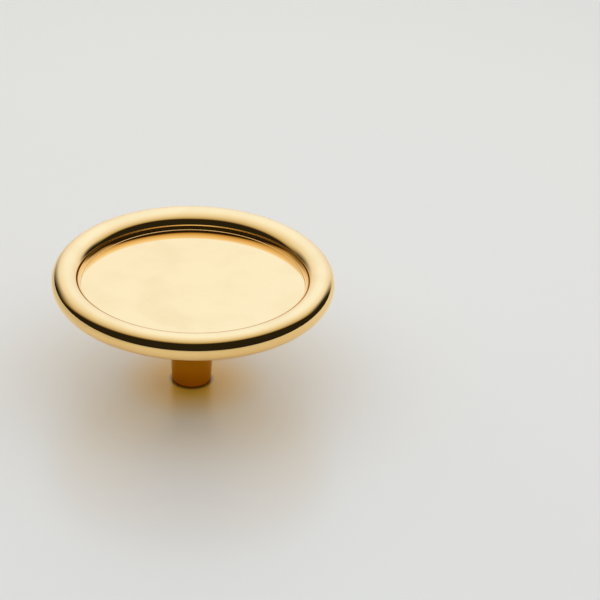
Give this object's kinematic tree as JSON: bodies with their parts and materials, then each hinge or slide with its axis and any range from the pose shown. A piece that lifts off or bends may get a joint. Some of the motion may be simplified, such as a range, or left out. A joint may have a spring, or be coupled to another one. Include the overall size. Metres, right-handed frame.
{
  "type": "cabinet knob",
  "caption": "Round cabinet knob turned from polished brass, with a flat dished face, a thick round rim and a stem that flares like a trumpet.",
  "frame": {"origin": "centre of the stem's foot, on the face that meets the drawer front", "axes": "+Z along the stem, out of the drawer front towards the dished face"},
  "size_m": [0.072, 0.072, 0.032],
  "materials": {
    "polished_brass": "mirror-polished brass with a clear lacquer"
  },
  "bodies": {
    "root": {"knob_body": "polished_brass"}
  },
  "joints": []
}
